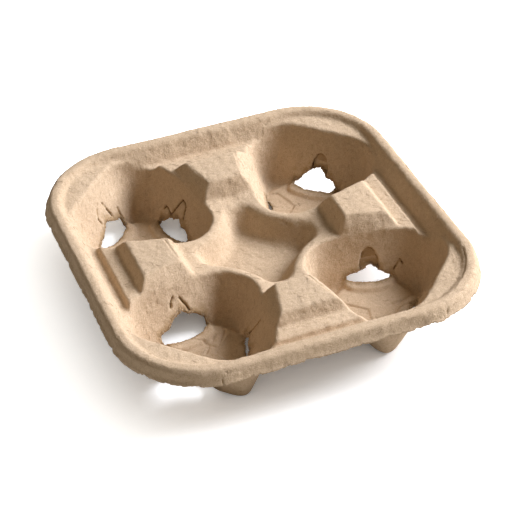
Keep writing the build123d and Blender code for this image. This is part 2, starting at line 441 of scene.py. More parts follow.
@dataclass
class Well:
    """The star-shaped hollow in the middle, whose sides run round the four pockets."""

    ridge_depth: float = 14.0
    depth: float = 28.0
    reach: float = 37.0
    side_radius: float = 48.7
    side_draft: float = 26.0
    end_draft: float = 30.0
    end_soft: float = 5.0
    floor_soft: float = 4.0

    def prepare(self, plan: Plan) -> None:
        """Keeps the level distances towards the star's ends and from the nearest pocket."""
        self.across = plan.across
        self.radius = plan.pocket_radius

    def distance(self, z: Array) -> Array:
        """Signed distance to the hollow."""
        below = -z - self.ridge_depth
        end_slope, side_slope = draft(self.end_draft), draft(self.side_draft)
        ends = tilted(self.across - self.reach + below * end_slope, end_slope)
        sides = tilted(self.side_radius + below * side_slope - self.radius, side_slope)
        hollow = soft_max(ends, sides, self.end_soft)
        return soft_max(hollow, -self.depth - z, self.floor_soft)


@dataclass
class FloorLips:
    """The lips on a pocket's floor: raised along a slot, or a sunk chevron by a whole flat."""

    width: float = 5.8
    half_length: float = 14.4
    corner: float = 3.0
    floor_depth: float = 38.5
    slope: float = 0.7
    soft: float = 1.0
    chevron_reach: float = 4.8
    chevron_slope: float = 0.62
    chevron_soft: float = 0.9

    def prepare(self, plan: Plan) -> None:
        """Keeps the level distance to each lip, its height, and the chevrons' depth."""
        self.outlines, self.tops = [], []
        self.sunk = np.zeros_like(plan.x)
        for flat in Flat:
            out, side = plan.toward(flat)
            rise = plan.tears(flat, "lip")
            half = plan.tears(flat, "half")
            edge = plan.tears(flat, "inner") + plan.tears(flat, "bulge") * (side / half) ** 2
            over_out = np.abs(out - edge) - (self.width - self.corner)
            over_side = np.abs(side) - (self.half_length - self.corner)
            outline = rounded(over_out, over_side, self.corner)
            self.outlines.append(np.where(rise > 0.0, outline, FAR))
            self.tops.append(np.maximum(rise, 0.0) - self.floor_depth)
            inward = out - self.chevron_reach - self.chevron_slope * np.abs(side)
            share = np.clip(inward / self.chevron_soft, 0.0, 1.0)
            share = share * (np.abs(side) < self.half_length)
            self.sunk = np.maximum(self.sunk, share * np.maximum(-rise, 0.0))

    def distance(self, z: Array) -> Array:
        """Signed distance to the nearest raised lip."""
        nearest = np.full_like(z, FAR)
        for outline, top in zip(self.outlines, self.tops):
            wall = tilted(outline + (z - top) * self.slope, self.slope)
            nearest = np.minimum(nearest, soft_max(wall, z - top, self.soft))
        return nearest


@dataclass
class SlotCuts:
    """The torn slots at the foot of the flat sides."""

    wall_slope: float = 0.475
    limit: float = 36.0
    floor_rag: float = 0.6
    wall_rag: float = 1.3
    coarse_share: float = 0.7
    fine_share: float = 0.22
    top_reach: float = 1.2
    top_curve: float = 1.1
    arch_foot: float = 5.4
    arch_tip: float = 2.4
    arch_curve: float = 1.6
    arch_depth: float = 2.6
    arch_soft: float = 3.4
    arch_rag: float = 0.5
    arch_edge: float = 0.9
    arch_start: float = 20.0
    arch_least: float = 0.1
    arch_full: float = 1.2
    arch_fade: float = 0.75
    arch_shallow: float = 0.25
    arch_below: float = -0.2
    arch_apart: float = 9.0
    seed: int = 11

    def prepare(self, plan: Plan) -> None:
        """Keeps each point's place beside every flat, and the torn line of each edge there."""
        self.places = []
        coarse = Ripple(self.seed, count=26, shortest=4.0, longest=12.0)
        fine = Ripple(self.seed + 1, count=20, shortest=1.3, longest=2.6)
        names = ("inner", "bulge", "half", "ends", "peak", "lean", "arch")
        for flat in Flat:
            out, side = plan.toward(flat)
            level = np.full_like(plan.x, flat.value)
            rag = self.coarse_share * coarse.value(plan.x, plan.y, level)
            rag = rag + self.fine_share * fine.value(plan.x, plan.y, level)
            inner, bulge, half, ends, peak, lean, arch = (plan.tears(flat, name) for name in names)
            edge = inner + bulge * (side / half) ** 2
            run = np.abs(side - lean) / (half - np.abs(lean) * np.sign(lean * side))
            top = peak + (ends - peak) * np.clip(run, 0.0, self.top_reach) ** self.top_curve
            edge, top = edge + self.floor_rag * rag, top + self.wall_rag * rag
            self.places.append((out, side, edge, top, half, peak, lean, arch, rag))

    def removed(self, z: Array) -> tuple[Array, Array]:
        """What the slots take from the sheet.

        Args:
            z: height of the sheet's upper surface.

        Returns:
            The level distance to the nearest slot, negative in it, and its upper edge's height.
        """
        nearest = np.full_like(z, FAR)
        lowest = np.full_like(z, -FAR)
        for out, side, edge, top, half, *_ in self.places:
            ends = np.maximum(np.abs(side) - half, out - self.limit)
            cut = np.maximum(np.maximum(ends, edge - out), (z - top) * self.wall_slope)
            inside = (ends < 0.0) & (edge - out < 0.0)
            lowest = np.where(inside, np.maximum(lowest, top), lowest)
            nearest = np.minimum(nearest, cut)
        return nearest, lowest

    def arches(self, z: Array) -> tuple[Array, Array]:
        """The pressed-out arches above the slots.

        Args:
            z: height of each point.

        Returns:
            How far each point is pressed out, and its distance from the line of the nearest arch.
        """
        pressed = np.zeros_like(z)
        line = np.full_like(z, FAR)
        for out, side, _, _, _, peak, lean, arch, rag in self.places:
            height = np.maximum(arch, self.arch_least)
            rise = (z - peak) / height
            taper = np.clip(rise, 0.0, 1.0) ** self.arch_curve
            half = self.arch_foot + (self.arch_tip - self.arch_foot) * taper
            away = np.abs(side - lean + self.arch_rag * rag) - half
            away = soft_max(away, (rise - 1.0) * height, self.arch_soft) + self.arch_rag * rag
            on_wall = (arch > 0.0) & (out > self.arch_start) & (out < self.limit)
            away = np.where(on_wall, away, FAR)
            fade = np.clip(self.arch_full - self.arch_fade * rise, self.arch_shallow, 1.0)
            depth = self.arch_depth * fade
            pressed = np.maximum(pressed, depth * np.clip(0.5 - away / self.arch_edge, 0.0, 1.0))
            apart = np.where(rise < self.arch_below, self.arch_apart, 0.0)
            line = np.minimum(line, np.abs(away) + apart)
        return pressed, line


@dataclass
class Ripple:
    """A smooth uneven field: many waves of random direction, length and phase."""

    seed: int
    count: int = 24
    shortest: float = 6.0
    longest: float = 30.0

    def __post_init__(self) -> None:
        """Draws the waves."""
        draw = np.random.default_rng(self.seed)
        length = draw.uniform(self.shortest, self.longest, self.count)
        turn = draw.normal(size=(self.count, 3))
        turn /= np.linalg.norm(turn, axis=1)[:, None]
        self.waves = turn * (2.0 * pi / length)[:, None]
        self.phases = draw.uniform(0.0, 2.0 * pi, self.count)

    def value(self, x: Array, y: Array, z: Array) -> Array:
        """Value of the field at each point, mostly between -1 and 1."""
        total = np.zeros_like(x)
        for (wave_x, wave_y, wave_z), phase in zip(self.waves, self.phases):
            total += np.sin(x * wave_x + y * wave_y + z * wave_z + phase)
        return total / sqrt(self.count)


@dataclass
class Relief:
    """The sheet's marks: creases, cracks, ribs, arches, and paper torn open beside the slots."""

    crack_half: float = 0.95
    crack_depth: float = 1.3
    arch_painted_shade: float = 0.5
    edge_torn: float = 0.62
    crack_painted_shade: float = 1.6
    crack_least: float = 0.45
    mark_least: float = 0.5
    fray_start: float = 0.4
    fray_least: float = 0.8
    fray_more: float = 3.6
    wall_start: float = 14.0
    upright: float = 0.25
    seed: int = 24

    def depth(self, points: Array, slots: SlotCuts) -> tuple[Array, Array]:
        """How far the marked surface lies under the plain one.

        Args:
            points: places on the surface, in millimetres.
            slots: the torn slots, prepared for these points.

        Returns:
            The depth at each point, and how much the paper is darkened there: the torn tint beside
            the slots, and painted shade in cracks, creases and pressed arches.
        """
        x, y, z = points.T
        ripple = Ripple(self.seed, count=30, shortest=2.0, longest=9.0)
        rough = 0.5 + 0.5 * ripple.value(x, y, z)
        pressed, line = slots.arches(z)
        for flat, sign_x, sign_y, places in WALL_MARKS:
            out, side = slots.places[list(Flat).index(flat)][:2]
            here = (x * sign_x > 0.0) & (y * sign_y > 0.0) & (out > self.wall_start)
            away = distance_to_line(np.column_stack((side, z)), places)
            line = np.minimum(line, np.where(here, away, FAR))
        crack = np.clip(1.0 - line / self.crack_half, 0.0, 1.0)
        crack = crack * np.clip(self.crack_least + rough, 0.0, 1.0)
        depth = pressed + self.crack_depth * crack
        # Painted shade: cracks are darkened, nearly black along their middles.
        torn_and_shade = np.clip(self.crack_painted_shade * crack, 0.0, 1.0)
        # Painted shade: the pressed-out arches take the torn tint in their recess.
        torn_and_shade = np.maximum(torn_and_shade, self.arch_painted_shade * np.clip(pressed, 0.0, 1.0))
        flattened = (1.0, 1.0, self.upright)
        for mark in MARKS:
            away = distance_to_line(points * flattened, np.array(mark.points) * flattened)
            share = np.clip(1.0 - away / mark.half_width, 0.0, 1.0)
            share = share * share * (3.0 - 2.0 * share)
            share = share * np.clip(self.mark_least + rough, 0.0, 1.0)
            depth += mark.depth * share
            torn_and_shade = np.maximum(torn_and_shade, mark.torn_and_shade * share)
        cut, _ = slots.removed(z)
        fray = self.fray_least + self.fray_more * np.clip(rough, 0.0, 1.0)
        near = np.clip(1.0 - (cut - self.fray_start) / fray, 0.0, 1.0)
        return depth, np.clip(np.maximum(torn_and_shade, self.edge_torn * near), 0.0, 1.0)


def distance_to_line(points: Array, places: Sequence[Sequence[float]]) -> Array:
    """Distance of each point from a line through some places."""
    nearest = np.full(len(points), FAR)
    for start, end in zip(places[:-1], places[1:]):
        first = np.array(start)
        step = np.array(end) - first
        share = np.clip((points - first) @ step / (step @ step), 0.0, 1.0)
        away = points - first - share[:, None] * step
        nearest = np.minimum(nearest, np.linalg.norm(away, axis=1))
    return nearest


@dataclass
class PulpSheet:
    """The whole tray as one sheet, made as an upper and an under surface that close at every edge.

    Args:
        half: half the tray's width, in millimetres.
        height: the tray's height.
    """

    half: float
    height: float
    wall: float = 2.2
    step: float = 0.6
    lowest: float = -60.0
    highest: float = 4.0
    rounds: int = 20
    side_soft: float = 1.6
    pocket_soft: float = 1.9
    well_soft: float = 2.4
    lip_soft: float = 1.2
    floor_band: float = 1.5
    skirt_rag: float = 0.5
    skirt_fine: float = 0.5
    skirt_seed: int = 5
    least_edge_slope: float = 0.25
    least_slope: float = 0.2
    beyond_edge: float = 0.7
    long_edge: float = 0.95
    merged: float = 0.03
    probe: float = 0.15
    furthest: float = 1.2
    settle_rounds: int = 3
    brink: float = 1.5
    under_count: int = 26000
    face_count: int = 194000

    def __post_init__(self) -> None:
        """Makes the shapes that the sheet follows."""
        self.rim, self.sides, self.ledges = Rim(self.half), SideSteps(), CornerLedge()
        self.pockets, self.well, self.lips = CupPocket(), Well(), FloorLips()
        self.slots, self.relief = SlotCuts(), Relief()

    def prepare(self, x: Array, y: Array) -> None:
        """Readies every shape for points over those places."""
        plan = Plan(x, y)
        for shape in (self.rim, self.sides, self.ledges, self.pockets, self.well, self.lips):
            shape.prepare(plan)

    def distance(self, z: Array) -> Array:
        """Signed distance to the form under the sheet's upper surface, at the prepared points."""
        body = soft_min(self.rim.distance(z), self.sides.distance(z), self.side_soft)
        ledges = np.maximum(self.ledges.distance(z), self.rim.block(z))
        body = soft_min(body, ledges, self.side_soft)
        body = soft_max(body, -self.pockets.distance(z), self.pocket_soft)
        body = soft_max(body, -self.well.distance(z), self.well_soft)
        body = soft_min(body, self.lips.distance(z), self.lip_soft)
        on_floor = np.clip(self.floor_band - np.abs(z + self.pockets.floor_depth), 0.0, 1.0)
        return body + self.lips.sunk * on_floor

    def heights(self, x: Array, y: Array, face: Face) -> Array:
        """Height of one of the sheet's surfaces over each point, measured up from the crest."""
        self.prepare(x, y)
        low = np.full_like(x, self.lowest)
        high = np.full_like(x, self.highest)
        for _ in range(self.rounds):
            middle = 0.5 * (low + high)
            within = self.distance(middle) < -self.wall * face.value
            low, high = np.where(within, middle, low), np.where(within, high, middle)
        return 0.5 * (low + high)

    def skirt_edge(self, x: Array, y: Array) -> Array:
        """Height of the skirt's ragged lower edge over each point."""
        level = np.zeros_like(x)
        coarse = Ripple(self.skirt_seed, shortest=4.0, longest=26.0)
        fine = Ripple(self.skirt_seed + 1, shortest=1.4, longest=4.0)
        rag = coarse.value(x, y, level) + self.skirt_fine * fine.value(x, y, level)
        return -self.rim.skirt_depth + self.skirt_rag * np.maximum(rag, 0.0)

    def kept(self, x: Array, y: Array, top: Array) -> tuple[Array, Array]:
        """Where the sheet is left after its slots are torn out and its skirt ends.

        Args:
            x: first coordinate of each point.
            y: second coordinate.
            top: height of the upper surface.

        Returns:
            The level distance past the sheet's edge, negative in it, and its lowest height.
        """
        plan = Plan(x, y)
        self.slots.prepare(plan)
        torn_and_shade, floor = self.slots.removed(top)
        crest = self.half - self.rim.flare - self.rim.band / 2.0
        outside = plan.square(crest, self.rim.corner) > 0.0
        edge = self.skirt_edge(x, y)
        slope = (self.rim.flare - self.rim.flange_flare) / self.rim.skirt_depth
        slope += self.rim.flange_flare / self.rim.flange_depth
        past = np.where(outside, (edge - top) * slope, -FAR)
        return np.maximum(-torn_and_shade, past), np.where(outside, edge, floor)

    def build(self, material: Material) -> Piece:
        """Makes the tray's mesh at the origin, in metres, of one material."""
        reach = self.half + 2.0 * self.step
        line = np.linspace(-reach, reach, int(round(2.0 * reach / self.step)) + 1)
        grid_x, grid_y = np.meshgrid(line, line, indexing="ij")
        places = grid_x.ravel(), grid_y.ravel()
        past = self.kept(*places, self.heights(*places, Face.UPPER))[0].reshape(grid_x.shape)
        usable = past < self.beyond_edge * self.step
        cells = usable[:-1, :-1] & usable[1:, :-1] & usable[:-1, 1:] & usable[1:, 1:]
        used = touched(cells)
        x, y = self.snapped(grid_x, grid_y, past, used & touched(~cells))
        index = np.full(used.shape, -1)
        index[used] = np.arange(used.sum())
        x, y = x[used], y[used]
        top = self.heights(x, y, Face.UPPER)
        under = np.maximum(self.heights(x, y, Face.UNDER), self.kept(x, y, top)[1])
        upper_points = np.column_stack((x, y, top))
        under_points = np.column_stack((x, y, np.minimum(under, top)))
        tray = self.mesh(upper_points, under_points, index, cells)
        refine(tray, self.long_edge * MM)
        self.settle(tray)
        Unevenness().attach(tray, material)
        self.keep_inside(tray)
        self.thin(tray)
        self.mark_torn_and_shade(tray)
        return tray

    def snapped(self, x: Array, y: Array, past: Array, edge: Array) -> tuple[Array, Array]:
        """Moves the points along the sheet's edges onto them.

        Args:
            x: first coordinate of the grid's points.
            y: second coordinate.
            past: level distance past the edge at each point.
            edge: the points that bound a missing cell.

        Returns:
            The moved coordinates.
        """
        slope_x, slope_y = np.gradient(past, self.step)
        steep = np.maximum(slope_x**2 + slope_y**2, self.least_edge_slope)
        move = np.clip(past, -self.step, self.step) / steep
        return x - np.where(edge, move * slope_x, 0.0), y - np.where(edge, move * slope_y, 0.0)

    def mesh(self, upper: Array, under: Array, index: Array, cells: Array) -> Piece:
        """Builds the closed mesh from its two surfaces.

        Args:
            upper: the points of the upper surface.
            under: the points of the under surface, in the same order.
            index: number of each grid point among them.
            cells: the grid cells that the sheet covers.

        Returns:
            The object, whose "upper" attribute is 1 on the upper surface.
        """
        count = len(upper)
        points = np.vstack((upper, under)) + (0.0, 0.0, self.height)
        grid_corners = (index[:-1, :-1], index[1:, :-1], index[1:, 1:], index[:-1, 1:])
        corners = np.stack(grid_corners, axis=-1)[cells]
        padded = np.pad(cells, 1)
        neighbours = (padded[1:-1, :-2], padded[2:, 1:-1], padded[1:-1, 2:], padded[:-2, 1:-1])
        walls = []
        for start, beyond in enumerate(neighbours):
            open_side = (cells & ~beyond)[cells]
            first, last = corners[open_side][:, (start, (start + 1) % 4)].T
            walls.append(np.column_stack((last, first, first + count, last + count)))
        faces = np.vstack([corners, corners[:, ::-1] + count] + walls)
        data = bpy.data.meshes.new("tray_sheet")
        data.from_pydata((points * MM).tolist(), [], faces.tolist())
        tray = placed("tray_sheet", data)
        write_values(tray, "upper", np.repeat((1.0, 0.0), count))
        close_edges(tray, self.merged * MM)
        return tray

    def settle(self, tray: Piece) -> None:
        """Moves the upper surface's points onto its form, with the fine relief added."""
        points = read_points(tray) / MM - (0.0, 0.0, self.height)
        upper = read_values(tray, "upper") > 1.0 - NEARLY
        for _ in range(self.settle_rounds):
            here = points[upper]
            value, slope = self.slopes(here)
            self.slots.prepare(Plan(here[:, 0], here[:, 1]))
            depth, _ = self.relief.depth(here, self.slots)
            length = np.maximum((slope**2).sum(axis=1), self.least_slope)
            move = np.clip(value + depth, -self.furthest, self.furthest) / length
            points[upper] = here - move[:, None] * slope
        write_points(tray, (points + (0.0, 0.0, self.height)) * MM)

    def keep_inside(self, piece: Piece) -> None:
        """Moves whatever stands out of the tray's box back into it."""
        low = np.array((-self.half, -self.half, 0.0))
        high = np.array((self.half, self.half, self.height))
        write_points(piece, np.clip(read_points(piece), low * MM, high * MM))

    def slopes(self, points: Array) -> tuple[Array, Array]:
        """Signed distance at each point, and how it changes along each axis."""
        x, y, z = points.T
        self.prepare(x, y)
        value = self.distance(z)
        slope = np.empty_like(points)
        slope[:, 2] = (self.distance(z + self.probe) - value) / self.probe
        for axis, places in enumerate(((x + self.probe, y), (x, y + self.probe))):
            self.prepare(*places)
            slope[:, axis] = (self.distance(z) - value) / self.probe
        return value, slope

    def thin(self, tray: Piece) -> None:
        """Collapses the under surface first, and then whatever is plain."""
        is_under = read_values(tray, "upper") < NEARLY
        group = tray.vertex_groups.new(name="under")
        group.add(np.nonzero(is_under)[0].tolist(), 1.0, "REPLACE")
        faces = [face.vertices for face in tray.data.polygons]
        faces = [corners for corners in faces if all(is_under[corner] for corner in corners)]
        under = sum(len(corners) - 2 for corners in faces)
        thin_out(tray, triangle_count(tray) - under + self.under_count, "under")
        thin_out(tray, self.face_count, "")
        tray.vertex_groups.clear()

    def mark_torn_and_shade(self, tray: Piece) -> None:
        """Keeps, as attributes, how far the paper is darkened, by the torn tint and by painted
        shade in cracks, creases and arches, and how near a slot it is.
        """
        points = read_points(tray) / MM - (0.0, 0.0, self.height)
        self.slots.prepare(Plan(points[:, 0], points[:, 1]))
        write_values(tray, "torn_and_shade", self.relief.depth(points, self.slots)[1])
        cut, _ = self.slots.removed(points[:, 2])
        write_values(tray, "brink", np.clip(self.brink - cut, 0.0, 1.0))


def touched(cells: Array) -> Array:
    """The grid points at the corners of some cells."""
    points = np.zeros((cells.shape[0] + 1, cells.shape[1] + 1), bool)
    for along_x in (slice(None, -1), slice(1, None)):
        for along_y in (slice(None, -1), slice(1, None)):
            points[along_x, along_y] |= cells
    return points


def placed(name: str, data: bpy.types.ID | None) -> Piece:
    """Adds an object to the scene."""
    made = bpy.data.objects.new(name, data)
    bpy.context.scene.collection.objects.link(made)
    return made


def read_points(piece: Piece) -> Array:
    """The places of a piece's vertices."""
    points = np.empty(3 * len(piece.data.vertices))
    piece.data.vertices.foreach_get("co", points)
    return points.reshape(-1, 3)


def write_points(piece: Piece, points: Array) -> None:
    """Moves a piece's vertices."""
    piece.data.vertices.foreach_set("co", points.ravel())
    piece.data.update()


def read_values(piece: Piece, name: str) -> Array:
    """One number for each of a piece's vertices, from an attribute."""
    values = np.empty(len(piece.data.vertices), np.float32)
    piece.data.attributes[name].data.foreach_get("value", values)
    return values


def write_values(piece: Piece, name: str, values: Array) -> None:
    """Keeps one number for each of a piece's vertices as a new attribute."""
    kept = piece.data.attributes.new(name, "FLOAT", "POINT")
    kept.data.foreach_set("value", values.astype(np.float32))


def triangle_count(piece: Piece) -> int:
    """Number of triangles in a piece."""
    return sum(len(face.vertices) - 2 for face in piece.data.polygons)


def refine(piece: Piece, length: float) -> None:
    """Splits the upper surface's edges that are longer than length."""
    work = bmesh.new()
    work.from_mesh(piece.data)
    upper = work.verts.layers.float["upper"]
    limit = 2.0 - NEARLY
    on_top = [edge for edge in work.edges if edge.verts[0][upper] + edge.verts[1][upper] > limit]
    long_edges = [edge for edge in on_top if edge.calc_length() > length]
    bmesh.ops.subdivide_edges(work, edges=long_edges, cuts=1, use_grid_fill=True)
    work.to_mesh(piece.data)
    work.free()


def close_edges(piece: Piece, gap: float) -> None:
    """Merges points that lie within gap of each other and turns every face outwards."""
    work = bmesh.new()
    work.from_mesh(piece.data)
    bmesh.ops.remove_doubles(work, verts=work.verts, dist=gap)
    bmesh.ops.dissolve_degenerate(work, edges=work.edges, dist=gap / 10.0)
    bmesh.ops.recalc_face_normals(work, faces=work.faces)
    work.to_mesh(piece.data)
    work.free()


def apply_modifiers(piece: Piece) -> None:
    """Turns the piece's modifiers into plain mesh and removes them."""
    bpy.context.view_layer.update()
    depsgraph = bpy.context.evaluated_depsgraph_get()
    result = bpy.data.meshes.new_from_object(piece.evaluated_get(depsgraph), depsgraph=depsgraph)
    piece.modifiers.clear()
    old = piece.data
    piece.data = result
    result.name = piece.name
    bpy.data.meshes.remove(old)


def thin_out(piece: Piece, limit: int, group: str) -> None:
    """Collapses plain stretches until the piece has about limit triangles.

    Args:
        piece: the piece.
        limit: the number of triangles wanted.
        group: the vertex group that alone is thinned, or nothing for all of it.
    """
    triangles = triangle_count(piece)
    if triangles <= limit:
        return
    thinner = piece.modifiers.new("thin", "DECIMATE")
    thinner.ratio = limit / triangles
    thinner.vertex_group = group
    apply_modifiers(piece)


@dataclass
class Graph:
    """Adds nodes to one node tree and joins them."""

    tree: bpy.types.NodeTree

    def node(self, kind: str, inputs: dict | None = None, **settings: object) -> bpy.types.Node:
        """Adds a node.

        Args:
            kind: the node's type.
            inputs: what each input takes: another node's output or a plain value.
            settings: the node's properties.

        Returns:
            The node.
        """
        made = self.tree.nodes.new(kind)
        for key, value in settings.items():
            setattr(made, key, value)
        self.feed(made, inputs or {})
        return made

    def feed(self, node: bpy.types.Node, inputs: dict) -> None:
        """Links a node's inputs to other nodes' outputs, or gives them plain values."""
        for key, value in inputs.items():
            if isinstance(value, Socket):
                self.tree.links.new(value, node.inputs[key])
            else:
                node.inputs[key].default_value = value

    def maths(self, operation: str, *values: object) -> Socket:
        """Reckons with other nodes' outputs and with numbers."""
        return self.node("ShaderNodeMath", dict(enumerate(values)), operation=operation).outputs[0]

    def mix(self, share: Socket, first: object, second: object) -> Socket:
        """Mixes the second colour over the first."""
        inputs = {"Factor": share, "A": first, "B": second}
        return self.node("ShaderNodeMix", inputs, data_type="RGBA").outputs["Result"]


class Geometry(Graph):
    """A Geometry Nodes tree with named inputs.

    Args:
        name: the tree's name.
        values: its named inputs, with lengths in metres.
    """

    def __init__(self, name: str, values: dict[str, float]) -> None:
        """Starts a tree that takes a geometry and the named values, and gives a geometry."""
        super().__init__(bpy.data.node_groups.new(name, "GeometryNodeTree"))
        self.values = values
        sockets = self.tree.interface
        sockets.new_socket("Geometry", in_out="INPUT", socket_type="NodeSocketGeometry")
        sockets.new_socket("Geometry", in_out="OUTPUT", socket_type="NodeSocketGeometry")
        for key, value in values.items():
            number = sockets.new_socket(key, in_out="INPUT", socket_type="NodeSocketFloat")
            number.default_value = value
        self.start = self.node("NodeGroupInput").outputs

    def attribute(self, name: str) -> Socket:
        """Reads one of the piece's attributes."""
        made = self.node("GeometryNodeInputNamedAttribute", {"Name": name}, data_type="FLOAT")
        return made.outputs["Attribute"]

    def attach(self, piece: Piece, source: Socket, material: Material) -> None:
        """Ends the tree with real geometry, sets its inputs by identifier and makes it plain mesh.

        Args:
            piece: what the tree works on.
            source: the geometry that it ends with.
            material: what that is made of.
        """
        real = self.node("GeometryNodeRealizeInstances", {"Geometry": source}).outputs["Geometry"]
        dressed = self.node("GeometryNodeSetMaterial", {"Geometry": real, "Material": material})
        self.node("NodeGroupOutput", {"Geometry": dressed.outputs["Geometry"]})
        modifier = piece.modifiers.new(self.tree.name, "NODES")
        modifier.node_group = self.tree
        for item in self.tree.interface.items_tree:
            if item.item_type == "SOCKET" and item.name in self.values:
                modifier[item.identifier] = self.values[item.name]
        apply_modifiers(piece)


@dataclass
class Unevenness:
    """The wavy, lumpy and grainy surface of wet pulp, made by moving points along their normals."""

    heights: tuple[float, float, float] = (1.1, 0.85, 0.33)
    scales: tuple[float, float, float] = (42.0, 190.0, 560.0)
    seed: float = 7.0

    def attach(self, tray: Piece, material: Material) -> None:
        """Makes the sheet's upper surface uneven.

        Args:
            tray: the sheet, with its "upper" attribute.
            material: what it is made of.
        """
        names = ("Broad height", "Middle height", "Fine height")
        values = {name: height * MM for name, height in zip(names, self.heights)}
        tree = Geometry("pulp_unevenness", values | {"Seed": self.seed})
        place = tree.node("GeometryNodeInputPosition").outputs["Position"]
        total = None
        for name, scale in zip(names, self.scales):
            inputs = {"Scale": scale, "Detail": 1.0, "Vector": place, "W": tree.start["Seed"]}
            noise = tree.node("ShaderNodeTexNoise", inputs, noise_dimensions="4D")
            centred = tree.maths("SUBTRACT", noise.outputs[0], 0.5)
            band = tree.maths("MULTIPLY", centred, tree.start[name])
            total = band if total is None else tree.maths("ADD", total, band)
        normal = tree.node("GeometryNodeInputNormal").outputs["Normal"]
        share = tree.maths("MULTIPLY", total, tree.attribute("upper"))
        offset = tree.node("ShaderNodeVectorMath", operation="SCALE")
        tree.feed(offset, {"Vector": normal, "Scale": share})
        inputs = {"Geometry": tree.start["Geometry"], "Offset": offset.outputs["Vector"]}
        moved = tree.node("GeometryNodeSetPosition", inputs)
        tree.attach(tray, moved.outputs["Geometry"], material)


@dataclass(frozen=True)
class Fibres:
    """Bent fibres scattered over a surface, each a thin three-sided thread.

    Args:
        name: name of the piece.
        attribute: the surface's attribute that must be high where fibres lie.
        density: fibres on each square metre.
        shortest: shortest fibre, in millimetres.
        longest: longest fibre.
        thickness: a fibre's thickness as a share of its length.
        tilt: greatest lean out of the surface, in radians.
        lift: how far above the surface a fibre's middle lies.
        seed: seed of the scatter.
    """

    name: str
    attribute: str
    density: float
    shortest: float
    longest: float
    thickness: float
    tilt: float
    lift: float
    seed: int
    least_share: float = 0.6
    least_upper: float = 0.9

    def build(self, sheet: PulpSheet, tray: Piece, material: Material) -> Piece:
        """Scatters the fibres.

        Args:
            sheet: the sheet, for its limits.
            tray: the surface that they lie on.
            material: what they are made of.

        Returns:
            The fibres as one piece.
        """
        piece = placed(self.name, tray.data.copy())
        values = {"Density": self.density, "Shortest": self.shortest, "Longest": self.longest}
        tree = Geometry(self.name, values | {"Thickness": self.thickness * MM})
        high = tree.maths("GREATER_THAN", tree.attribute(self.attribute), self.least_share)
        upper = tree.maths("GREATER_THAN", tree.attribute("upper"), self.least_upper)
        wanted = tree.maths("MULTIPLY", high, upper)
        inputs = {"Mesh": tree.start["Geometry"], "Selection": wanted, "Seed": self.seed}
        spread = tree.node("GeometryNodeDistributePointsOnFaces", distribute_method="RANDOM")
        tree.feed(spread, inputs | {"Density": tree.start["Density"]})
        limits = {"Min": (-self.tilt, -self.tilt, 0.0), "Max": (self.tilt, self.tilt, 2.0 * pi)}
        lean = self.chance(tree, 1, limits, "FLOAT_VECTOR").outputs[0]
        turn = tree.node("FunctionNodeEulerToRotation", {0: lean}).outputs[0]
        inputs = {"Rotation": spread.outputs["Rotation"], "Rotate By": turn}
        facing = tree.node("FunctionNodeRotateRotation", inputs, rotation_space="LOCAL")
        limits = {2: tree.start["Shortest"], 3: tree.start["Longest"]}
        length = self.chance(tree, 2, limits, "FLOAT")
        inputs = {"Points": spread.outputs["Points"], "Instance": self.thread(tree)}
        inputs |= {"Rotation": facing.outputs[0], "Scale": length.outputs[1]}
        threads = tree.node("GeometryNodeInstanceOnPoints", inputs).outputs["Instances"]
        tint = self.chance(tree, 3, {}, "FLOAT").outputs[1]
        kept = tree.node("GeometryNodeStoreNamedAttribute", data_type="FLOAT", domain="INSTANCE")
        tree.feed(kept, {"Name": "tint", "Geometry": threads, "Value": tint})
        tree.attach(piece, kept.outputs["Geometry"], material)
        sheet.keep_inside(piece)
        return piece

    def chance(self, tree: Geometry, turn: int, inputs: dict, kind: str) -> bpy.types.Node:
        """A random value for each fibre, drawn with its own seed."""
        inputs = inputs | {"Seed": self.seed + turn}
        return tree.node("FunctionNodeRandomValue", inputs, data_type=kind)

    def thread(self, tree: Geometry) -> Socket:
        """One bent thread, a millimetre long."""
        start, end = (-0.5 * MM, 0.0, self.lift * MM), (0.5 * MM, 0.0, self.lift * MM)
        middle = (0.1 * MM, 0.35 * MM, 2.0 * self.lift * MM)
        inputs = {"Resolution": 4, "Start": start, "Middle": middle, "End": end}
        bend = tree.node("GeometryNodeCurveQuadraticBezier", inputs).outputs["Curve"]
        inputs = {"Resolution": 3, "Radius": tree.start["Thickness"]}
        ring = tree.node("GeometryNodeCurvePrimitiveCircle", inputs).outputs["Curve"]
        inputs = {"Curve": bend, "Profile Curve": ring, "Fill Caps": True}
        return tree.node("GeometryNodeCurveToMesh", inputs).outputs["Mesh"]


def matt(name: str, roughness: float, gloss: float) -> tuple[Material, Graph, bpy.types.Node]:
    """Makes a matt material.

    Args:
        name: its name.
        roughness: how rough it is.
        gloss: how strongly it reflects.

    Returns:
        The material, its nodes and its shader.
    """
    made = bpy.data.materials.new(name)
    made.use_nodes = True
    graph = Graph(made.node_tree)
    shader = made.node_tree.nodes["Principled BSDF"]
    graph.feed(shader, {"Roughness": roughness, "Specular IOR Level": gloss})
    return made, graph, shader


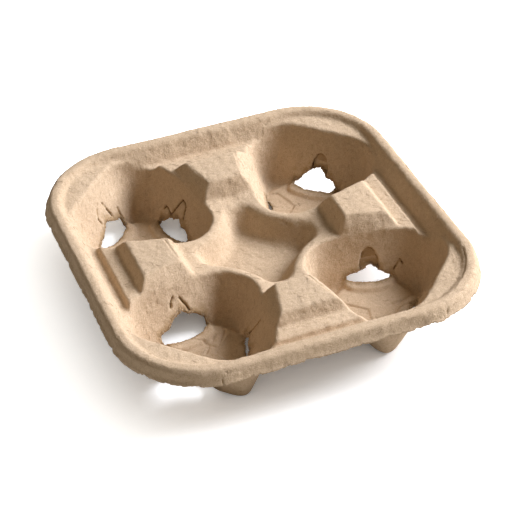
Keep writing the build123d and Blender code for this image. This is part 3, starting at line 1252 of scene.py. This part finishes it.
@dataclass(frozen=True)
class PulpFinish:
    """Unbleached moulded paper pulp: matt, mottled, with fibres, flecks and a rough grain."""

    pale: Colour = (0.69, 0.54, 0.39)
    usual: Colour = (0.60, 0.45, 0.31)
    dark: Colour = (0.42, 0.295, 0.18)
    torn_and_shade: Colour = (0.36, 0.235, 0.115)
    painted_crack_shade: Colour = (0.10, 0.058, 0.028)
    roughness: float = 0.92
    gloss: float = 0.25
    bump: float = 0.8
    mottle_height: float = 0.5
    grain_height: float = 0.35

    def material(self) -> Material:
        """Builds the material."""
        made, graph, shader = matt("moulded_pulp", self.roughness, self.gloss)
        place = graph.node("ShaderNodeTexCoord").outputs["Object"]

        def noise(scale: float, detail: float, rough: float) -> Socket:
            """A noise pattern on the object's own coordinates."""
            inputs = {"Scale": scale, "Detail": detail, "Roughness": rough, "Vector": place}
            return graph.node("ShaderNodeTexNoise", inputs).outputs["Fac"]

        blotch = noise(28.0, 3.0, 0.55)
        mottle = noise(420.0, 4.0, 0.6)
        grain = noise(1500.0, 3.0, 0.6)
        speck = noise(2900.0, 1.0, 0.5)
        torn_and_shade = graph.node("ShaderNodeAttribute", attribute_name="torn_and_shade").outputs["Fac"]
        layers = (
            (blotch, 0.35, 0.65, self.pale, 0.32),
            (mottle, 0.42, 0.70, self.dark, 0.42),
            (grain, 0.50, 0.68, self.pale, 0.45),
            (grain, 0.48, 0.34, self.dark, 0.55),
            (speck, 0.46, 0.30, self.dark, 0.60),
            (speck, 0.55, 0.70, self.pale, 0.50),
            # The torn tint is painted shade along creases, cracks and pressed arches, and also the
            # colour of torn paper beside the slots; the near-black colour is painted shade in the
            # cracks.
            (torn_and_shade, 0.12, 0.60, self.torn_and_shade, 0.80),
            (torn_and_shade, 0.66, 0.95, self.painted_crack_shade, 0.88),
        )
        colour = (*self.usual, 1.0)
        for pattern, low, high, tint, strength in layers:
            inputs = {"Value": pattern, "From Min": low, "From Max": high}
            share = graph.node("ShaderNodeMapRange", inputs).outputs["Result"]
            colour = graph.mix(graph.maths("MULTIPLY", share, strength), colour, (*tint, 1.0))
        inputs = {"Strength": self.bump, "Distance": self.mottle_height * MM, "Height": mottle}
        coarse = graph.node("ShaderNodeBump", inputs).outputs["Normal"]
        inputs |= {"Distance": self.grain_height * MM, "Height": grain, "Normal": coarse}
        fine = graph.node("ShaderNodeBump", inputs).outputs["Normal"]
        graph.feed(shader, {"Base Color": colour, "Normal": fine})
        return made


@dataclass(frozen=True)
class FibreFinish:
    """Loose fibres, each between a pale and a dark tint."""

    pale: Colour = (0.76, 0.61, 0.45)
    dark: Colour = (0.30, 0.195, 0.115)
    roughness: float = 0.9
    gloss: float = 0.2

    def material(self) -> Material:
        """Builds the material."""
        made, graph, shader = matt("loose_fibre", self.roughness, self.gloss)
        tint = graph.node("ShaderNodeAttribute", attribute_name="tint").outputs["Fac"]
        graph.feed(shader, {"Base Color": graph.mix(tint, (*self.dark, 1.0), (*self.pale, 1.0))})
        return made


@dataclass
class Studio:
    """The pale floor, the soft key lamp, the room's light and the camera."""

    crest_height: float
    azimuth: float = -22.0
    elevation: float = 39.4
    roll: float = -0.7
    distance: float = 0.931
    lens: float = 109.8
    sensor: float = 36.0
    shift_right: float = -0.0016
    shift_up: float = 0.0209
    floor_size: float = 6.0
    floor_lit: Colour = (0.82, 0.80, 0.76)
    floor_seen: Colour = (0.97, 0.985, 1.0)
    shade_reach: float = 0.16
    shade_samples: int = 12
    shade_power: float = 1.2
    floor_glow: float = 1.16
    least_glow: float = 0.04
    key_place: tuple[float, float, float] = (1.73, 0.02, 1.25)
    key_size: float = 1.4
    key_power: float = 95.0
    key_colour: Colour = (1.0, 1.02, 1.08)
    room_colour: Colour = (1.0, 0.84, 0.60)
    room_strength: float = 0.19

    def axes(self) -> tuple[Vector, Vector, Vector]:
        """Directions from the tray to the camera, to its right and up."""
        turn, rise, tilt = radians(self.azimuth), radians(self.elevation), radians(self.roll)
        back = Vector((sin(turn) * cos(rise), -cos(turn) * cos(rise), sin(rise)))
        right = Vector((cos(turn), sin(turn), 0.0))
        up = back.cross(right)
        return back, right * cos(tilt) + up * sin(tilt), up * cos(tilt) - right * sin(tilt)

    def camera(self) -> None:
        """Puts the camera at the photograph's viewing angle."""
        back, right, up = self.axes()
        data = bpy.data.cameras.new("camera")
        data.lens = self.lens
        data.sensor_width = self.sensor
        made = placed("camera", data)
        place = back * self.distance - right * self.shift_right - up * self.shift_up
        place += Vector((0.0, 0.0, self.crest_height))
        turned = Matrix((right, up, back)).transposed().to_4x4()
        made.matrix_world = Matrix.Translation(place) @ turned
        bpy.context.scene.camera = made

    def floor(self) -> None:
        """Lays the floor, which the camera sees glowing near white, with a painted shadow where the
        glow dims next to the tray, besides the tray's cast shadow.
        """
        half = self.floor_size / 2.0
        corners = [(-half, -half, 0.0), (half, -half, 0.0), (half, half, 0.0), (-half, half, 0.0)]
        data = bpy.data.meshes.new("floor")
        data.from_pydata(corners, [], [(0, 1, 2, 3)])
        finish, graph, shader = matt("studio_floor", 1.0, 0.0)
        seen = graph.node("ShaderNodeLightPath").outputs["Is Camera Ray"]
        inputs = {"Distance": self.shade_reach}
        # Painted shadow: the floor's glow for the camera falls off with ambient occlusion next to
        # the tray.
        open_air = graph.node("ShaderNodeAmbientOcclusion", inputs, samples=self.shade_samples)
        shade = graph.maths("POWER", open_air.outputs["AO"], self.shade_power)
        glow = graph.maths("MULTIPLY_ADD", shade, self.floor_glow, self.least_glow)
        graph.feed(shader, {
            "Base Color": graph.mix(seen, (*self.floor_lit, 1.0), (*self.floor_seen, 1.0)),
            "Emission Color": (1.0, 1.0, 1.0, 1.0),
            "Emission Strength": graph.maths("MULTIPLY", seen, glow),
        })
        data.materials.append(finish)
        placed("floor", data)

    def light(self) -> None:
        """Lights the tray from a soft disk at its right, with a pale room around it."""
        data = bpy.data.lights.new("key", "AREA")
        data.shape = "DISK"
        data.size = self.key_size
        data.energy = self.key_power
        data.color = self.key_colour
        place = Vector(self.key_place)
        aim = Vector((0.0, 0.0, self.crest_height / 2.0)) - place
        turned = aim.to_track_quat("-Z", "Y").to_matrix().to_4x4()
        placed("key", data).matrix_world = Matrix.Translation(place) @ turned
        world = bpy.data.worlds.new("room")
        bpy.context.scene.world = world
        world.use_nodes = True
        background = world.node_tree.nodes["Background"]
        inputs = {"Color": (*self.room_colour, 1.0), "Strength": self.room_strength}
        Graph(world.node_tree).feed(background, inputs)

    def build(self) -> None:
        """Makes the camera, the floor and the lights."""
        self.camera()
        self.floor()
        self.light()
        bpy.context.scene.view_settings.view_transform = "Standard"


def main() -> None:
    """Builds the tray and the studio, and reports each piece."""
    logging.basicConfig(level=logging.INFO, format="%(message)s")
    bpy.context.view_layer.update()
    low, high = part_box(NODE)
    sheet = PulpSheet(half=(high.x - low.x) / 2.0 / MM, height=(high.z - low.z) / MM)
    pulp = PulpFinish().material()
    loose = FibreFinish().material()
    tray = sheet.build(pulp)
    tray.data.shade_smooth()
    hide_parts(NODE)
    pieces = [tray]
    for fibres in (
        Fibres("surface_fibres", "upper", 42000.0, 1.2, 4.2, 0.022, 0.05, 0.012, 31),
        Fibres("torn_fibres", "brink", 1500000.0, 0.8, 2.6, 0.05, 0.9, 0.05, 41),
    ):
        pieces.append(fibres.build(sheet, tray, loose))
    for piece in pieces:
        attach(piece, BODY)
        LOG.info("%s: %d triangles", piece.name, triangle_count(piece))
    Studio(crest_height=high.z).build()


if __name__ == "__main__":
    main()
